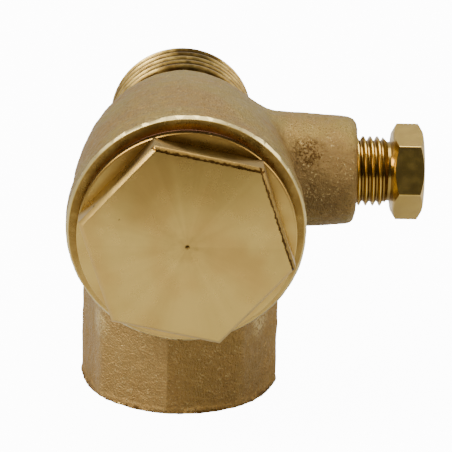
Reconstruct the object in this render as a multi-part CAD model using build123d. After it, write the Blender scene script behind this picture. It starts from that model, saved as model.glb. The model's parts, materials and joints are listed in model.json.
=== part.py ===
from build123d import *
import os
from math import radians, tan

os.makedirs("parts", exist_ok=True)

# Air-compressor check valve with an unloader port.
# Frame: +Z up, the valve stands on the end face of its inlet socket, and the
# origin is the centre of that face. The hexagon cap points along -Y, the tank
# thread along +Y and the unloader boss along +X. All three share the height
# AXIS_Z. Lengths are in millimetres and angles in degrees.

# ---- Body: outside ----
AXIS_Z = 32.4           # height of the cap, tank thread and boss axes
FRONT_Y = -24.4         # front face, which the cap's gasket seals on
RING_SHOWN = 1.45       # turned ring around the front face, beyond the cap's flange
RING_LENGTH = 4.4
RING_CHAMFER = 0.7
RING_STEP = 0.65        # how far the barrel starts below the ring
RING_FILLET_LENGTH = 1.3    # length of the slope behind the ring
BARREL_MID_Y = -2.0     # the barrel's side is an arc through this station
BARREL_MID_INSET = 1.95     # how far the arc lies inside the ring there
BARREL_END_R = 10.8
SHOULDER_Y = 12.8       # where the barrel stops and the tank thread starts
SOCKET_FLATS = 26.5     # across the flats of the octagonal inlet socket
SOCKET_TURN = -97.0     # direction of one corner of the octagon
SOCKET_TOP = 4.0        # how far below the axes the octagon ends inside the barrel
SOCKET_CORNER_R = 3.5   # rounding of the octagon's upright edges
SOCKET_CHAMFER_R = 13.7     # the end face is turned to this radius
SOCKET_CHAMFER = 0.7
BOSS_END_X = 24.6
BOSS_END_R = 7.6
BOSS_ROOT_R = 8.5
BOSS_ROOT_X = 8.0
BOSS_EDGE = 1.0

# ---- Pipe and cap threads, as plain cylinders at their working radius ----
TANK_THREAD_R = 10.4775     # G 1/2 outside radius
TANK_THREAD_LENGTH = 11.4
TANK_THREAD_CHAMFER = 1.0
THREAD_RELIEF_R = 9.2       # undercut between the shoulder and the first turn
THREAD_RELIEF_LENGTH = 1.5
SOCKET_THREAD_R = 9.3155    # G 1/2 inside radius
SOCKET_THREAD_DEPTH = 15.0
SOCKET_MOUTH = 1.0          # countersink of the socket's mouth
CAP_THREAD_R = 13.0         # M26
CAP_THREAD_LENGTH = 9.0     # length of the cap's plug inside the body
CAP_THREAD_RUNOUT = 0.5
NUT_THREAD_R = 5.0          # M10
THREAD_CLEARANCE = 0.08     # radial gap between mating threads

# ---- Body: inside ----
CHAMBER_STEP = 1.4          # how far the chamber lies inside the cap thread
CHAMBER_END_Y = 3.0
PASSAGE_R = 7.5
PASSAGE_START_Y = 12.0
SEAT_Y = -8.0               # the seat is the nozzle's front face
NOZZLE_BORE_R = 5.6
NOZZLE_WALL = 2.2
UNLOADER_DUCT_R = 2.0
UNLOADER_DUCT_WALL = 2.2
TUBE_STOP_X = 12.5          # where the unloader tube's end stops
TUBE_R = 3.0
TUBE_CLEARANCE = 0.1
OLIVE_SEAT_X = 13.1
OLIVE_SEAT_ANGLE = 24.0     # half angle of the cone that the olive wedges into
NUT_THREAD_START_X = 16.0

# ---- Cap and gasket ----
GASKET_THICKNESS = 1.0
GASKET_WIDTH = 1.75         # beyond the cap thread
FLANGE_LIP = 0.3            # how far the flange overhangs the gasket
FLANGE_THICKNESS = 1.4
CAP_HEX_SPARE = 0.1         # how far each flat lies outside the cap thread
CAP_HEX_HEIGHT = 3.7
CAP_HEX_TURN = 108.4        # direction of one corner, from +X towards +Z
CAP_CHAMFER = 0.7           # depth of the chamfer along the face's six edges
CAP_CHAMFER_WIDTH = 0.45
CAP_DIMPLE_R = 0.4
CAP_CUP_DEPTH = 3.1         # counterbore that the piston's head rises into
CAP_POCKET_DEPTH = 2.5      # spring pocket beyond the counterbore
CAP_WALL = 2.3              # metal between the guide bore and the cap's face

# ---- Check piston ----
LIFT = 3.5                  # travel of the piston
LIFT_SPARE = 0.2            # gap left at full lift
SEAL_R = 7.2
SEAL_THICKNESS = 2.0
SEAL_RIM = 1.6              # piston rim around the rubber disc
SEAL_RIM_SETBACK = 0.6      # how far the rim stays behind the rubber's face
SEAL_CLEARANCE = 0.1
HEAD_BACK = 3.0             # head thickness behind the rubber disc
HEAD_CLEARANCE = 0.6        # between the head and the cap's counterbore
STEM_R = 3.0
STEM_CLEARANCE = 0.08
WASHER_R = 4.2
WASHER_THICKNESS = 0.8
SCREW_R = 1.5
SCREW_LENGTH = 6.0
SCREW_HEAD_R = 2.7
SCREW_HEAD_HEIGHT = 1.6
SCREW_SLOT = 0.7
SCREW_HOLE_SPARE = 1.0      # hole length beyond the screw's tip
HOLE_CLEARANCE = 0.1

# ---- Closing spring ----
SPRING_WIRE_R = 0.35
SPRING_CLEARANCE = 0.7      # between the stem and the inside of the coil
SPRING_TURNS = 5.0
SPRING_END_GAP = 0.02

# ---- Unloader nut and olive ----
NUT_ENGAGED = 5.0           # thread length inside the boss with the nut left loose
NUT_THREAD_SHOWN = 3.8
NUT_NECK_LENGTH = 1.4
NUT_NECK_R = 4.3
NUT_HEX_LENGTH = 4.4
NUT_FLATS = 12.0
NUT_CORNER_TURN = 189.0     # direction of one corner, from +Y towards +Z
NUT_CHAMFER = 0.6
NUT_CHAMFER_ANGLE = 60.0    # between the chamfer and the nut's axis
NUT_CONE_ANGLE = 45.0
OLIVE_LENGTH = 4.0
OLIVE_R = 4.2
OLIVE_TIP_R = 3.45
OLIVE_GAP = 0.15            # between the olive and the nut's cone

CENTRE = (0, 0, AXIS_Z)


def station(direction, distance):
    """Plane whose normal is direction, at a distance from the axes' crossing point."""
    offset = Vector(*direction) * distance
    return Plane(origin=Vector(*CENTRE) + offset, z_dir=direction)


def rod(direction, radius, start, end, end_radius=None):
    """Cylinder or cone along direction between two distances from the crossing point."""
    lift = (Align.CENTER, Align.CENTER, Align.MIN)
    if end_radius is None:
        return station(direction, start) * Cylinder(radius, end - start, align=lift)
    return station(direction, start) * Cone(radius, end_radius, end - start, align=lift)


def rod_x(radius, start, end, end_radius=None):
    return rod((1, 0, 0), radius, start, end, end_radius)


def rod_y(radius, start, end, end_radius=None):
    return rod((0, 1, 0), radius, start, end, end_radius)


def rod_z(radius, start, end, end_radius=None):
    """Upright cylinder or cone between two heights above the socket's end face."""
    return rod((0, 0, 1), radius, start - AXIS_Z, end - AXIS_Z, end_radius)


def hexagon_prism(plane, flats, height, corner_angle):
    """Hexagonal prism on a plane, with one corner at an angle from the plane's x direction."""
    outline = RegularPolygon(flats / 2, 6, major_radius=False)
    corner = outline.vertices()[0]
    turn = corner_angle - Vector(1, 0, 0).get_signed_angle(Vector(corner.X, corner.Y, 0), Vector(0, 0, 1))
    return extrude(plane * Rot(0, 0, turn) * outline, height)


# ---- Values worked out from the driving dimensions ----
GASKET_R = CAP_THREAD_R + GASKET_WIDTH
FLANGE_R = GASKET_R + FLANGE_LIP
RING_R = FLANGE_R + RING_SHOWN
BARREL_MID_R = RING_R - BARREL_MID_INSET
CHAMBER_R = CAP_THREAD_R - CHAMBER_STEP
CAP_FLATS = 2 * (CAP_THREAD_R + CAP_HEX_SPARE)
THREAD_START_Y = SHOULDER_Y + THREAD_RELIEF_LENGTH
TANK_END_Y = SHOULDER_Y + TANK_THREAD_LENGTH
CAP_BORE_R = CAP_THREAD_R + THREAD_CLEARANCE
CAP_BORE_END_Y = FRONT_Y + CAP_THREAD_LENGTH + CAP_THREAD_RUNOUT
FLANGE_BACK_Y = FRONT_Y - GASKET_THICKNESS
HEX_BACK_Y = FLANGE_BACK_Y - FLANGE_THICKNESS
CAP_FACE_Y = HEX_BACK_Y - CAP_HEX_HEIGHT
PLUG_END_Y = FRONT_Y + CAP_THREAD_LENGTH
CUP_FLOOR_Y = PLUG_END_Y - CAP_CUP_DEPTH
POCKET_FLOOR_Y = CUP_FLOOR_Y - CAP_POCKET_DEPTH
GUIDE_FLOOR_Y = CAP_FACE_Y + CAP_WALL
NOZZLE_R = NOZZLE_BORE_R + NOZZLE_WALL
SEAL_BACK_Y = SEAT_Y - SEAL_THICKNESS
HEAD_BACK_Y = SEAL_BACK_Y - HEAD_BACK
HEAD_R = SEAL_R + SEAL_CLEARANCE + SEAL_RIM
STEM_END_Y = GUIDE_FLOOR_Y + LIFT + LIFT_SPARE
SPRING_R = STEM_R + SPRING_CLEARANCE + SPRING_WIRE_R
NUT_BORE_R = TUBE_R + TUBE_CLEARANCE
NUT_TIP_X = BOSS_END_X - NUT_ENGAGED
NUT_NECK_X = BOSS_END_X + NUT_THREAD_SHOWN
NUT_HEX_X = NUT_NECK_X + NUT_NECK_LENGTH
NUT_END_X = NUT_HEX_X + NUT_HEX_LENGTH
NUT_CONE_DEPTH = (OLIVE_R + OLIVE_GAP - NUT_BORE_R) / tan(radians(NUT_CONE_ANGLE))
OLIVE_SEAT_END_R = NUT_BORE_R + (NUT_THREAD_START_X - OLIVE_SEAT_X) * tan(radians(OLIVE_SEAT_ANGLE))


def barrel():
    """Front ring and barrel, turned about the cap axis."""
    ring_end = FRONT_Y + RING_LENGTH
    barrel_start = (RING_R - RING_STEP, ring_end + RING_FILLET_LENGTH)
    shoulder = (BARREL_END_R, SHOULDER_Y)
    edge = Polyline(
        shoulder,
        (0, SHOULDER_Y),
        (0, FRONT_Y),
        (RING_R - RING_CHAMFER, FRONT_Y),
        (RING_R, FRONT_Y + RING_CHAMFER),
        (RING_R, ring_end),
        barrel_start,
    )
    side = ThreePointArc(barrel_start, (BARREL_MID_R, BARREL_MID_Y), shoulder)
    return Pos(*CENTRE) * revolve(make_face(edge + side), Axis.Y)


def tank_thread():
    """Thread cylinder with a lead-in at the end and an undercut behind the shoulder."""
    straight_end = TANK_END_Y - TANK_THREAD_CHAMFER
    end_r = TANK_THREAD_R - TANK_THREAD_CHAMFER
    relief = rod_y(THREAD_RELIEF_R, 0, THREAD_START_Y)
    lead_in = rod_y(TANK_THREAD_R, straight_end, TANK_END_Y, end_r)
    return relief + rod_y(TANK_THREAD_R, THREAD_START_Y, straight_end) + lead_in


def inlet_socket():
    """Octagonal socket with rounded edges, turned round at the end face."""
    outline = RegularPolygon(SOCKET_FLATS / 2, 8, major_radius=False)
    corner = outline.vertices()[0]
    turn = SOCKET_TURN - Vector(1, 0, 0).get_signed_angle(Vector(corner.X, corner.Y, 0), Vector(0, 0, 1))
    prism = extrude(Rot(0, 0, turn) * outline, AXIS_Z - SOCKET_TOP)
    prism = fillet(prism.edges().filter_by(Axis.Z), SOCKET_CORNER_R)
    wide = SOCKET_CHAMFER_R + SOCKET_CHAMFER
    end_cone = rod_z(SOCKET_CHAMFER_R, 0, SOCKET_CHAMFER, wide)
    rest = rod_z(SOCKET_FLATS, SOCKET_CHAMFER, AXIS_Z)
    return prism & (end_cone + rest)


def side_boss():
    boss = rod_x(BOSS_ROOT_R, BOSS_ROOT_X, BOSS_END_X, BOSS_END_R)
    end_edge = boss.edges().filter_by(GeomType.CIRCLE).sort_by(Axis.X)[-1]
    return fillet(end_edge, BOSS_EDGE)


def body_cavity():
    """Space in front of and around the nozzle, and the passage to the tank."""
    cap_bore = rod_y(CAP_BORE_R, FRONT_Y, CAP_BORE_END_Y)
    chamber = rod_y(CHAMBER_R, CAP_BORE_END_Y, CHAMBER_END_Y)
    taper = rod_y(CHAMBER_R, CHAMBER_END_Y, PASSAGE_START_Y, PASSAGE_R)
    passage = rod_y(PASSAGE_R, PASSAGE_START_Y, TANK_END_Y)
    return cap_bore + chamber + taper + passage


def nozzle_walls():
    """Nozzle with the seat, the riser that feeds it and the unloader duct's wall."""
    nozzle = rod_y(NOZZLE_R, SEAT_Y, NOZZLE_R)
    riser = rod_z(NOZZLE_R, SOCKET_THREAD_DEPTH, AXIS_Z)
    duct = rod_x(UNLOADER_DUCT_R + UNLOADER_DUCT_WALL, 0, TUBE_STOP_X)
    return nozzle + riser + duct


def inlet_bores():
    """Socket thread, riser and nozzle bores as one connected space."""
    mouth = rod_z(SOCKET_THREAD_R + SOCKET_MOUTH, 0, SOCKET_MOUTH, SOCKET_THREAD_R)
    thread = rod_z(SOCKET_THREAD_R, 0, SOCKET_THREAD_DEPTH)
    riser = rod_z(NOZZLE_BORE_R, SOCKET_THREAD_DEPTH, AXIS_Z)
    nozzle = rod_y(NOZZLE_BORE_R, SEAT_Y, NOZZLE_BORE_R)
    return mouth + thread + riser + nozzle


def boss_bores():
    """Unloader duct, tube stop, olive seat and nut thread."""
    duct = rod_x(UNLOADER_DUCT_R, 0, TUBE_STOP_X)
    stop = rod_x(NUT_BORE_R, TUBE_STOP_X, OLIVE_SEAT_X)
    seat = rod_x(NUT_BORE_R, OLIVE_SEAT_X, NUT_THREAD_START_X, OLIVE_SEAT_END_R)
    thread_r = NUT_THREAD_R + THREAD_CLEARANCE
    thread = rod_x(thread_r, NUT_THREAD_START_X, BOSS_END_X)
    return duct + stop + seat + thread


def valve_body():
    casting = barrel() + tank_thread() + inlet_socket() + side_boss()
    return casting - body_cavity() + nozzle_walls() - inlet_bores() - boss_bores()


def hex_cap():
    """Threaded plug with a round flange and a hexagon, bored for the spring and the stem."""
    face = station((0, -1, 0), -HEX_BACK_Y)
    face = Plane(origin=face.origin, x_dir=(1, 0, 0), z_dir=(0, -1, 0))
    hexagon = hexagon_prism(face, CAP_FLATS, CAP_HEX_HEIGHT, CAP_HEX_TURN)
    hex_face = hexagon.faces().sort_by(Axis.Y)[0]
    hexagon = chamfer(hex_face.edges(), CAP_CHAMFER_WIDTH, CAP_CHAMFER, reference=hex_face)
    flange = rod_y(FLANGE_R, HEX_BACK_Y, FLANGE_BACK_Y)
    plug = rod_y(CAP_THREAD_R, FLANGE_BACK_Y, PLUG_END_Y)
    cup = rod_y(HEAD_R + HEAD_CLEARANCE, CUP_FLOOR_Y, PLUG_END_Y)
    pocket = rod_y(SPRING_R + SPRING_WIRE_R + HEAD_CLEARANCE, POCKET_FLOOR_Y, CUP_FLOOR_Y)
    guide = rod_y(STEM_R + STEM_CLEARANCE, GUIDE_FLOOR_Y, POCKET_FLOOR_Y)
    dimple = rod_y(CAP_DIMPLE_R, CAP_FACE_Y, CAP_FACE_Y + CAP_DIMPLE_R, 0)
    return hexagon + flange + plug - cup - pocket - guide - dimple


def cap_gasket():
    inner_r = CAP_THREAD_R + THREAD_CLEARANCE
    return rod_y(GASKET_R, FLANGE_BACK_Y, FRONT_Y) - rod_y(inner_r, FLANGE_BACK_Y, FRONT_Y)


def check_piston():
    """Head with a rimmed recess for the rubber disc, and a guide stem."""
    rim_face_y = SEAT_Y - SEAL_RIM_SETBACK
    head = rod_y(HEAD_R, HEAD_BACK_Y, rim_face_y)
    recess = rod_y(SEAL_R + SEAL_CLEARANCE, SEAL_BACK_Y, rim_face_y)
    stem = rod_y(STEM_R, STEM_END_Y, HEAD_BACK_Y)
    hole_end_y = SEAT_Y + WASHER_THICKNESS - SCREW_LENGTH - SCREW_HOLE_SPARE
    screw_hole = rod_y(SCREW_R + HOLE_CLEARANCE, hole_end_y, SEAL_BACK_Y)
    return head + stem - recess - screw_hole


def seal_disc():
    hole = rod_y(SCREW_R + HOLE_CLEARANCE, SEAL_BACK_Y, SEAT_Y)
    return rod_y(SEAL_R, SEAL_BACK_Y, SEAT_Y) - hole


def seal_retaining_washer():
    front_y = SEAT_Y + WASHER_THICKNESS
    return rod_y(WASHER_R, SEAT_Y, front_y) - rod_y(SCREW_R + HOLE_CLEARANCE, SEAT_Y, front_y)


def seal_screw():
    under_head_y = SEAT_Y + WASHER_THICKNESS
    head_y = under_head_y + SCREW_HEAD_HEIGHT
    shank = rod_y(SCREW_R, under_head_y - SCREW_LENGTH, under_head_y)
    slot_length = 2 * SCREW_HEAD_R
    slot = Pos(0, head_y, AXIS_Z) * Box(slot_length, SCREW_HEAD_HEIGHT, SCREW_SLOT)
    return shank + rod_y(SCREW_HEAD_R, under_head_y, head_y) - slot


def closing_spring():
    """Round-wire coil between the spring pocket's floor and the back of the piston's head."""
    start_y = POCKET_FLOOR_Y + SPRING_WIRE_R + SPRING_END_GAP
    end_y = HEAD_BACK_Y - SPRING_WIRE_R - SPRING_END_GAP
    height = end_y - start_y
    path = Helix(height / SPRING_TURNS, height, SPRING_R)
    section = Plane(origin=path @ 0, z_dir=path % 0) * Circle(SPRING_WIRE_R)
    return station((0, 1, 0), start_y) * sweep(section, path)


def unloader_nut():
    """Compression nut: cone at the tip, thread, neck and hexagon, bored for the tube."""
    thread = rod_x(NUT_THREAD_R, NUT_TIP_X, NUT_NECK_X)
    neck = rod_x(NUT_NECK_R, NUT_NECK_X, NUT_HEX_X)
    base = Plane(origin=(NUT_HEX_X, 0, AXIS_Z), x_dir=(0, 1, 0), z_dir=(1, 0, 0))
    hexagon = hexagon_prism(base, NUT_FLATS, NUT_HEX_LENGTH, NUT_CORNER_TURN)
    narrow = NUT_FLATS / 2
    wide = narrow + NUT_CHAMFER * tan(radians(NUT_CHAMFER_ANGLE))
    inner_x = NUT_HEX_X + NUT_CHAMFER
    outer_x = NUT_END_X - NUT_CHAMFER
    turned = rod_x(narrow, NUT_HEX_X, inner_x, wide) + rod_x(wide, inner_x, outer_x)
    turned += rod_x(wide, outer_x, NUT_END_X, narrow)
    bore = rod_x(NUT_BORE_R, NUT_TIP_X, NUT_END_X)
    cone = rod_x(OLIVE_R + OLIVE_GAP, NUT_TIP_X, NUT_TIP_X + NUT_CONE_DEPTH, NUT_BORE_R)
    return thread + neck + (hexagon & turned) - bore - cone


def compression_olive():
    """Ring with a cone at each end, resting loose against the nut's cone."""
    tip_length = (OLIVE_R - OLIVE_TIP_R) / tan(radians(OLIVE_SEAT_ANGLE))
    nut_cone = (OLIVE_R - OLIVE_TIP_R) / tan(radians(NUT_CONE_ANGLE))
    end_x = NUT_TIP_X + nut_cone
    start_x = end_x - OLIVE_LENGTH
    ring = rod_x(OLIVE_TIP_R, start_x, start_x + tip_length, OLIVE_R)
    ring += rod_x(OLIVE_R, start_x + tip_length, NUT_TIP_X)
    ring += rod_x(OLIVE_R, NUT_TIP_X, end_x, OLIVE_TIP_R)
    return ring - rod_x(NUT_BORE_R, start_x, end_x)


NODES = {
    "valve_body": valve_body,
    "hex_cap": hex_cap,
    "cap_gasket": cap_gasket,
    "check_piston": check_piston,
    "seal_disc": seal_disc,
    "seal_retaining_washer": seal_retaining_washer,
    "seal_screw": seal_screw,
    "closing_spring": closing_spring,
    "unloader_nut": unloader_nut,
    "compression_olive": compression_olive,
}

for name, make in NODES.items():
    export_step(make(), f"parts/{name}.step")
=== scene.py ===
import json
from math import cos, hypot, pi, radians, sin, tan, tau

import bmesh
import bpy
import numpy as np
from mathutils import Matrix, Vector

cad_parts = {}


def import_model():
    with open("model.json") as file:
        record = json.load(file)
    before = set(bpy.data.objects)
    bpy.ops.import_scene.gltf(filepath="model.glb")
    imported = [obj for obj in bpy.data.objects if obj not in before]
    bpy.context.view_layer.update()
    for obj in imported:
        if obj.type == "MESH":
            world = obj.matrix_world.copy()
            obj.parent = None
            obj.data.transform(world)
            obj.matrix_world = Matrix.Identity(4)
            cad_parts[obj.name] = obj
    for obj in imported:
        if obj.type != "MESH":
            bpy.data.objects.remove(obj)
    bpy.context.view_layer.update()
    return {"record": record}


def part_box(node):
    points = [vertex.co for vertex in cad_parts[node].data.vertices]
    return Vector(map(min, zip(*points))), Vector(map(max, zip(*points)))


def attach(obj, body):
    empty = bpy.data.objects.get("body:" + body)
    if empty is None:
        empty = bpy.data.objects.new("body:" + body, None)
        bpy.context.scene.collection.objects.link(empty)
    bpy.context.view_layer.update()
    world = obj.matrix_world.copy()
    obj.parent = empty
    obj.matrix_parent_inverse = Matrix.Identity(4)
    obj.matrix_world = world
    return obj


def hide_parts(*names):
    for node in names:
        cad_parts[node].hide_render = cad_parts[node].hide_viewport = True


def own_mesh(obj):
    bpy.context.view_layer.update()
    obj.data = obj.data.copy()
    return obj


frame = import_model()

# Every piece is built in millimetres around the point where the cap, thread, boss and
# socket axes cross, and is scaled to metres and put at that point when it is finished.
MM = 0.001
MOUNTS = {mount["name"]: mount for mount in frame["record"]["mounts"]}
CENTRE = Vector((0.0, 0.0, MOUNTS["tank_thread"]["pos_m"][2]))


def box_mm(node):
    """Lowest and highest corner of a CAD node, in millimetres from the crossing point."""
    low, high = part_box(node)
    return (Vector(low) - CENTRE) / MM, (Vector(high) - CENTRE) / MM


BODY_LOW, BODY_HIGH = box_mm("valve_body")
CAP_LOW, CAP_HIGH = box_mm("hex_cap")
NUT_LOW, NUT_HIGH = box_mm("unloader_nut")
OLIVE_LOW, OLIVE_HIGH = box_mm("compression_olive")
GASKET_LOW, GASKET_HIGH = box_mm("cap_gasket")
PISTON_LOW, PISTON_HIGH = box_mm("check_piston")
SEAL_LOW, SEAL_HIGH = box_mm("seal_disc")
WASHER_LOW, WASHER_HIGH = box_mm("seal_retaining_washer")
SCREW_LOW, SCREW_HIGH = box_mm("seal_screw")
SPRING_LOW, SPRING_HIGH = box_mm("closing_spring")

# Sizes taken from the frame
FRONT_Y = BODY_LOW.y
TANK_END_Y = BODY_HIGH.y
BOSS_END_X = BODY_HIGH.x
RING_R = BODY_HIGH.z
SOCKET_END_Z = BODY_LOW.z
CAP_FACE_Y = CAP_LOW.y
PLUG_END_Y = CAP_HIGH.y
FLANGE_R = CAP_HIGH.x
TANK_MAJOR_R = MOUNTS["tank_thread"]["dims"]["r_mm"]
SOCKET_MINOR_R = MOUNTS["inlet_socket"]["dims"]["r_mm"]
TUBE_BORE_R = MOUNTS["unloader_tube"]["dims"]["r_mm"]

# Sizes that the frame doesn't give
SHOULDER_Y = 12.8
PIPE_PITCH = 1.814
PIPE_DEPTH = 1.162
CAP_PITCH = 1.5
CAP_MAJOR_R = 13.0
NUT_PITCH = 1.0
NUT_MAJOR_R = 5.0
METRIC_DEPTH = 0.61         # thread depth as a share of the pitch
THREAD_GAP = 0.07
SEAT_Y = SEAL_HIGH.y
NOZZLE_BORE_R = 5.6
NOZZLE_R = 7.8
CHAMBER_R = 11.6
PASSAGE_R = 7.5
SOCKET_DEPTH = 15.0
DUCT_END_X = 12.6           # where the unloader duct meets the tube's stop
NUT_BORE_START_X = 15.9
NUT_NECK_R = 4.25
OLIVE_TIP_R = 3.45
STEM_R = 3.0
STEM_GAP = 0.08
SCREW_HOLE_R = 1.6
OCTAGON_FLATS = 26.7
OCTAGON_TURN = -98.0
BURR_R = 14.0               # thin lip that the facing tool raised around the socket's end
BOSS_ROOT_R = 8.55
BOSS_TIP_R = 7.65
CAP_FLATS = 26.2
CAP_HEX_HEIGHT = 3.7
CAP_HEX_TURN = 108.4
CAP_BEVEL = 0.55            # how far the bevel pulls each flat's edge in
LIP_WIDTH = 0.30            # bevel around the ring's front face
NUT_FLATS = 12.0
NUT_FLAT_TURN = 159.0
NUT_HEX_LENGTH = 4.4
NUT_NECK_LENGTH = 0.9

# Right-handed local axes (across, up, along) for each direction a piece points in
AXES = {
    "+x": ((0, 1, 0), (0, 0, 1), (1, 0, 0)),
    "+y": ((0, 0, 1), (1, 0, 0), (0, 1, 0)),
    "-y": ((1, 0, 0), (0, 0, 1), (0, -1, 0)),
    "+z": ((1, 0, 0), (0, 1, 0), (0, 0, 1)),
    "-z": ((0, 1, 0), (1, 0, 0), (0, 0, -1)),
}


# ==== mesh tools ====

def new_object(name, points, faces):
    """Mesh object in millimetres from points and faces, with outward normals."""
    mesh = bpy.data.meshes.new(name)
    mesh.from_pydata([tuple(p) for p in points], [], [tuple(f) for f in faces])
    work = bmesh.new()
    work.from_mesh(mesh)
    bmesh.ops.recalc_face_normals(work, faces=work.faces)
    work.to_mesh(mesh)
    work.free()
    obj = bpy.data.objects.new(name, mesh)
    bpy.context.scene.collection.objects.link(obj)
    return obj


def soften(outline, radius, steps=4):
    """Round each inner corner of an open outline with a short curve."""
    result = [outline[0]]
    for before, corner, after in zip(outline, outline[1:], outline[2:]):
        corner, before, after = Vector(corner), Vector(before), Vector(after)
        back = before - corner
        ahead = after - corner
        reach = min(radius, 0.45 * back.length, 0.45 * ahead.length)
        start = corner + back.normalized() * reach
        end = corner + ahead.normalized() * reach
        for step in range(steps + 1):
            t = step / steps
            result.append(tuple(start * (1 - t) ** 2 + corner * 2 * t * (1 - t) + end * t ** 2))
    result.append(outline[-1])
    return result


def turned(name, direction, outline, columns=144, closed=False):
    """Solid of revolution. The outline is (station along direction, radius) pairs.

    An outline that isn't closed in itself is closed onto the axis.
    """
    if outline[0][1] > 0 and not closed:
        outline = [(outline[0][0], 0), *outline, (outline[-1][0], 0)]
    across, up, along = (np.array(v, float) for v in AXES[direction])
    points = []
    rings = []
    for station, radius in outline:
        if radius < 1e-6:
            rings.append([len(points)])
            points.append(along * station)
            continue
        rings.append(list(range(len(points), len(points) + columns)))
        for i in range(columns):
            angle = tau * i / columns
            points.append(along * station + radius * (cos(angle) * across + sin(angle) * up))
    faces = []
    pairs = list(zip(rings, rings[1:]))
    if closed:
        pairs.append((rings[-1], rings[0]))
    for first, second in pairs:
        for i in range(columns):
            j = (i + 1) % columns
            if len(first) == 1 and len(second) > 1:
                faces.append((first[0], second[i], second[j]))
            elif len(second) == 1 and len(first) > 1:
                faces.append((first[i], second[0], first[j]))
            elif len(first) > 1:
                faces.append((first[i], second[i], second[j], first[j]))
    return new_object(name, points, faces)


def rod(name, direction, radius, start, end, end_radius=None, columns=96):
    """Plain cylinder or cone between two stations."""
    if end_radius is None:
        end_radius = radius
    return turned(name, direction, [(start, radius), (end, end_radius)], columns)


def tooth(u):
    """Height of a rounded thread, from 0 to 1, at a share u of one pitch."""
    rise = 1 - abs(2 * u - 1)
    ramp = min(max((rise - 0.14) / 0.72, 0), 1)
    return ramp * ramp * (3 - 2 * ramp) * 0.4 + ramp * 0.6


def helicoid(name, direction, start, end, pitch, minor_r, major_r, columns=120):
    """Right-handed threaded rod whose rows follow the helix, longer than start to end."""
    across, up, along = (np.array(v, float) for v in AXES[direction])
    shares = [0.0, 0.07, 0.14, 0.25, 0.36, 0.43, 0.5, 0.57, 0.64, 0.75, 0.86, 0.93]
    turn_rows = len(shares)
    first = int(np.floor(start / pitch)) - 2
    turns = int(np.ceil(end / pitch)) + 1 - first
    rows = turns * turn_rows
    points = []
    for i in range(columns):
        angle = tau * i / columns
        spoke = cos(angle) * across + sin(angle) * up
        for row in range(rows + turn_rows + 1):
            share = shares[row % turn_rows]
            station = pitch * (first + row // turn_rows + share + i / columns)
            radius = minor_r + (major_r - minor_r) * tooth(share)
            points.append(along * station + radius * spoke)
    depth = rows + turn_rows + 1
    faces = []
    for i in range(columns):
        for row in range(rows):
            here = i * depth + row
            if i < columns - 1:
                beside = here + depth
            else:
                beside = row + turn_rows
            faces.append((here, here + 1, beside + 1, beside))
    # close both ends with a fan to a point on the axis
    low_edge = [i * depth for i in range(columns)] + list(range(turn_rows, 0, -1))
    high_edge = [i * depth + rows for i in range(columns)] + list(range(rows + turn_rows, rows, -1))
    for edge, station in ((low_edge, first - 1), (high_edge, first + turns + 2)):
        tip = len(points)
        points.append(along * pitch * station)
        for a, b in zip(edge, edge[1:] + edge[:1]):
            faces.append((tip, a, b))
    used = np.zeros(len(points), bool)
    for face in faces:
        used[list(face)] = True
    index = np.cumsum(used) - 1
    kept = [p for p, keep in zip(points, used) if keep]
    return new_object(name, kept, [tuple(int(index[v]) for v in face) for face in faces])


def prism(name, direction, sides, flats, corner_turn, start, end, bevel):
    """Regular prism with softened edges. The corner's angle is measured from the across axis."""
    across, up, along = (Vector(v) for v in AXES[direction])
    radius = flats / 2 / cos(pi / sides)
    points = []
    for station in (start, end):
        for i in range(sides):
            angle = radians(corner_turn) + tau * i / sides
            points.append(along * station + radius * (cos(angle) * across + sin(angle) * up))
    faces = [tuple(range(sides)), tuple(range(sides, 2 * sides))]
    for i in range(sides):
        j = (i + 1) % sides
        faces.append((i, j, j + sides, i + sides))
    obj = new_object(name, points, faces)
    if bevel > 0:
        work = bmesh.new()
        work.from_mesh(obj.data)
        upright = []
        for edge in work.edges:
            direction = (edge.verts[0].co - edge.verts[1].co).normalized()
            if abs(direction.dot(along)) > 0.9:
                upright.append(edge)
        bmesh.ops.bevel(work, geom=upright, offset=bevel, segments=3, profile=0.5, affect="EDGES")
        work.to_mesh(obj.data)
        work.free()
    return obj


def combine(obj, other, operation):
    """Boolean of two closed meshes; the other one is used up."""
    modifier = obj.modifiers.new("combine", "BOOLEAN")
    modifier.solver = "MANIFOLD"
    modifier.operation = operation
    modifier.object = other
    bpy.context.view_layer.update()
    graph = bpy.context.evaluated_depsgraph_get()
    result = bpy.data.meshes.new_from_object(obj.evaluated_get(graph))
    obj.modifiers.clear()
    obj.data = result
    result.materials.clear()
    bpy.data.objects.remove(other)
    return obj


def cut(obj, other):
    return combine(obj, other, "DIFFERENCE")


def join(obj, other):
    return combine(obj, other, "UNION")


def keep_inside(obj, other):
    return combine(obj, other, "INTERSECT")


def settle(obj, materials, body, nodes, sharp=32):
    """Scale a finished piece to metres, give it materials, and tie it to its CAD node."""
    obj.data.transform(Matrix.Scale(MM, 4))
    obj.location = CENTRE
    obj.data.shade_smooth()
    obj.data.set_sharp_from_angle(angle=radians(sharp))
    if not obj.data.materials:
        for material in materials:
            obj.data.materials.append(material)
    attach(obj, body)
    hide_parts(*nodes)
    return obj


# ==== casting blank ====

def smooth_min(a, b, k):
    h = np.clip(0.5 + 0.5 * (b - a) / k, 0, 1)
    return b * (1 - h) + a * h - k * h * (1 - h)


def smooth_max(a, b, k):
    return -smooth_min(-a, -b, k)


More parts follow.
